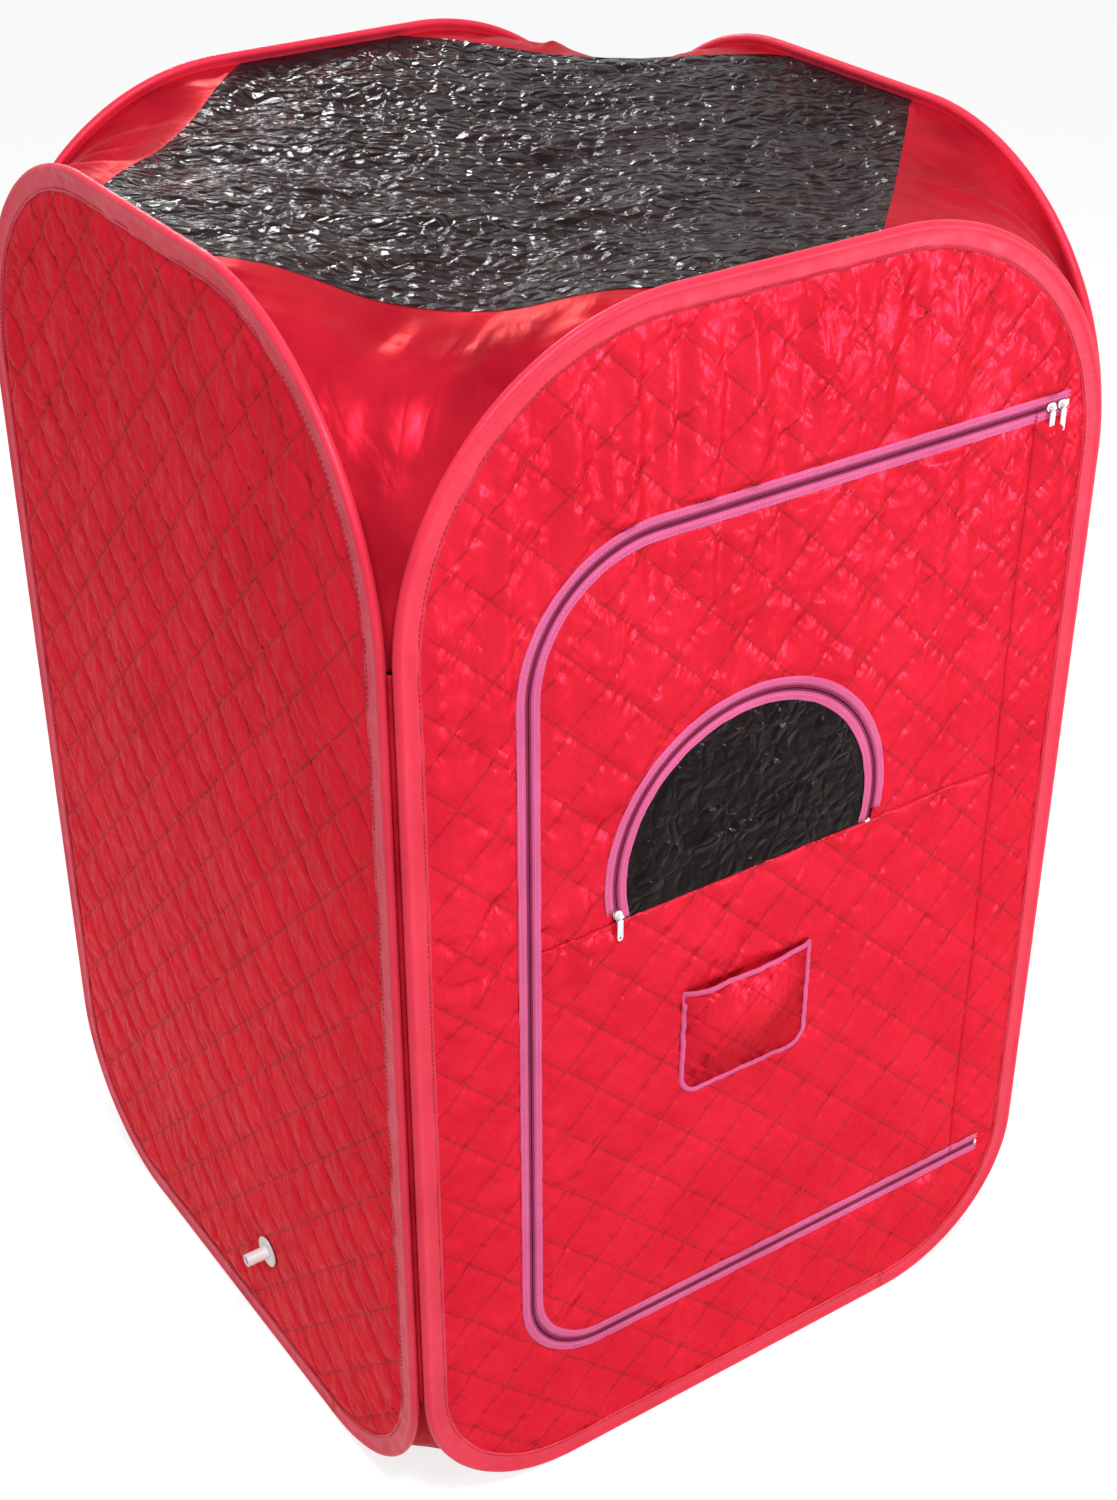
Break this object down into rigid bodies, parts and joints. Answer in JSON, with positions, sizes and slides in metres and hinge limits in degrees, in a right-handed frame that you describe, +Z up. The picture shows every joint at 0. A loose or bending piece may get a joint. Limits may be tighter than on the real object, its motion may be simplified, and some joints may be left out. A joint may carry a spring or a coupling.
{
  "type": "portable steam sauna cabin",
  "caption": "Square pop-up steam sauna cabin with quilted spring-hoop walls, zipped door, zipped window flap, patch pocket, dark roof film and steam inlet.",
  "frame": {"origin": "centre of the floor sheet's underside, midway between the walls' mid-planes", "axes": "+Z up; the front wall with the door faces -Y; the left wall with the steam inlet faces -X"},
  "size_m": [0.9394, 0.9183, 1.45],
  "materials": {
    "quilted_satin": "quilted red satin, puffed diamonds, soft sheen",
    "gusset_satin": "plain red satin, creased",
    "binding_satin": "coral red folded binding tape",
    "floor_cloth": "dark coated floor cloth",
    "lining_film": "dark waterproof lining",
    "roof_film": "glossy crinkled dark brown film",
    "window_film": "glossy dark film",
    "zip_tape": "pink woven tape",
    "zip_coil": "purple nylon coil",
    "white_zip_metal": "white painted die-cast",
    "inlet_plastic": "white moulded plastic",
    "gasket_rubber": "pale soft rubber",
    "spring_steel": "bare spring steel wire",
    "steel_crimp": "bare steel sleeve"
  },
  "bodies": {
    "front_wall": {"front_wire": "spring_steel", "front_wire_crimp": "steel_crimp", "front_binding": "binding_satin", "front_panel": "quilted_satin", "front_lining": "lining_film", "door_zip_frame_tape": "zip_tape", "door_zip_frame_coil": "zip_coil", "door_zip_stops": "white_zip_metal", "roof_film": "roof_film", "roof_gusset_front_left": "gusset_satin", "roof_gusset_front_right": "gusset_satin", "floor_sheet": "floor_cloth", "floor_gusset_front_left": "gusset_satin", "floor_gusset_front_right": "gusset_satin", "corner_seam_front_left": "binding_satin", "corner_seam_front_right": "binding_satin"},
    "left_wall": {"left_wire": "spring_steel", "left_wire_crimp": "steel_crimp", "left_binding": "binding_satin", "left_panel": "quilted_satin", "left_lining": "lining_film", "steam_inlet": "inlet_plastic", "steam_inlet_gasket": "gasket_rubber", "steam_inlet_nut": "inlet_plastic"},
    "right_wall": {"right_wire": "spring_steel", "right_wire_crimp": "steel_crimp", "right_binding": "binding_satin", "right_panel": "quilted_satin", "right_lining": "lining_film"},
    "back_wall": {"back_wire": "spring_steel", "back_wire_crimp": "steel_crimp", "back_binding": "binding_satin", "back_panel": "quilted_satin", "back_lining": "lining_film", "roof_gusset_back_left": "gusset_satin", "roof_gusset_back_right": "gusset_satin", "floor_gusset_back_left": "gusset_satin", "floor_gusset_back_right": "gusset_satin", "corner_seam_back_left": "binding_satin", "corner_seam_back_right": "binding_satin"},
    "door": {"door_upper_panel": "quilted_satin", "door_lower_panel": "quilted_satin", "door_lining": "lining_film", "door_zip_door_tape": "zip_tape", "door_zip_door_coil": "zip_coil", "window_zip_door_tape": "zip_tape", "window_zip_door_coil": "zip_coil", "window_zip_stops": "white_zip_metal", "pocket_pouch": "quilted_satin", "pocket_binding": "zip_tape"},
    "window_flap": {"window_film": "window_film", "window_zip_flap_tape": "zip_tape", "window_zip_flap_coil": "zip_coil"},
    "window_slider": {"window_slider": "white_zip_metal"},
    "window_pull": {"window_pull": "white_zip_metal"},
    "door_slider_right": {"door_slider_right": "white_zip_metal"},
    "door_slider_left": {"door_slider_left": "white_zip_metal"},
    "door_pull_right": {"door_pull_right": "white_zip_metal"},
    "door_pull_left": {"door_pull_left": "white_zip_metal"}
  },
  "joints": [
    {"name": "front_left_fold", "type": "hinge", "parent": "front_wall", "child": "left_wall", "pos_m": [-0.4445, -0.4445, 0.725], "axis": [0, 0, -1], "range_deg": [0, 85], "deforming": ["roof_film", "roof_gusset_front_left", "roof_gusset_front_right", "roof_gusset_back_left", "roof_gusset_back_right", "floor_sheet", "floor_gusset_front_left", "floor_gusset_front_right", "floor_gusset_back_left", "floor_gusset_back_right", "corner_seam_front_left", "corner_seam_front_right", "corner_seam_back_left", "corner_seam_back_right"]},
    {"name": "front_right_fold", "type": "hinge", "parent": "front_wall", "child": "right_wall", "pos_m": [0.45, -0.45, 0.725], "axis": [0, 0, -1], "range_deg": [0, 85]},
    {"name": "back_left_fold", "type": "hinge", "parent": "left_wall", "child": "back_wall", "pos_m": [-0.45, 0.45, 0.725], "axis": [0, 0, -1], "range_deg": [-85, 0]},
    {"name": "door_hinge", "type": "hinge", "parent": "front_wall", "child": "door", "pos_m": [0.34, -0.4541, 0.7], "axis": [0, 0, 1], "range_deg": [0, 150]},
    {"name": "window_flap_hinge", "type": "hinge", "parent": "door", "child": "window_flap", "pos_m": [-0.02, -0.4541, 0.765], "axis": [1, 0, 0], "range_deg": [0, 150]},
    {"name": "window_slider_travel", "type": "hinge", "parent": "door", "child": "window_slider", "pos_m": [-0.02, -0.453, 0.809], "axis": [0, 1, 0], "range_deg": [0, 202]},
    {"name": "window_pull_swing", "type": "hinge", "parent": "window_slider", "child": "window_pull", "pos_m": [-0.19054, -0.4579, 0.7745], "axis": [-1, 0, 0], "range_deg": [0, 160]},
    {"name": "door_slider_right_travel", "type": "slide", "parent": "front_wall", "child": "door_slider_right", "axis": [-1, 0, 0], "range_m": [0, 0.25]},
    {"name": "door_slider_left_travel", "type": "slide", "parent": "door_slider_right", "child": "door_slider_left", "axis": [-1, 0, 0], "range_m": [0, 0.25]},
    {"name": "door_pull_right_swing", "type": "hinge", "parent": "door_slider_right", "child": "door_pull_right", "pos_m": [0.3758, -0.4579, 1.21], "axis": [-1, 0, 0], "range_deg": [0, 160]},
    {"name": "door_pull_left_swing", "type": "hinge", "parent": "door_slider_left", "child": "door_pull_left", "pos_m": [0.3598, -0.4579, 1.21], "axis": [-1, 0, 0], "range_deg": [0, 160]}
  ],
  "couplings": [
    {"joint": "front_right_fold", "follows": "front_left_fold", "ratio": 1},
    {"joint": "back_left_fold", "follows": "front_left_fold", "ratio": -1}
  ]
}
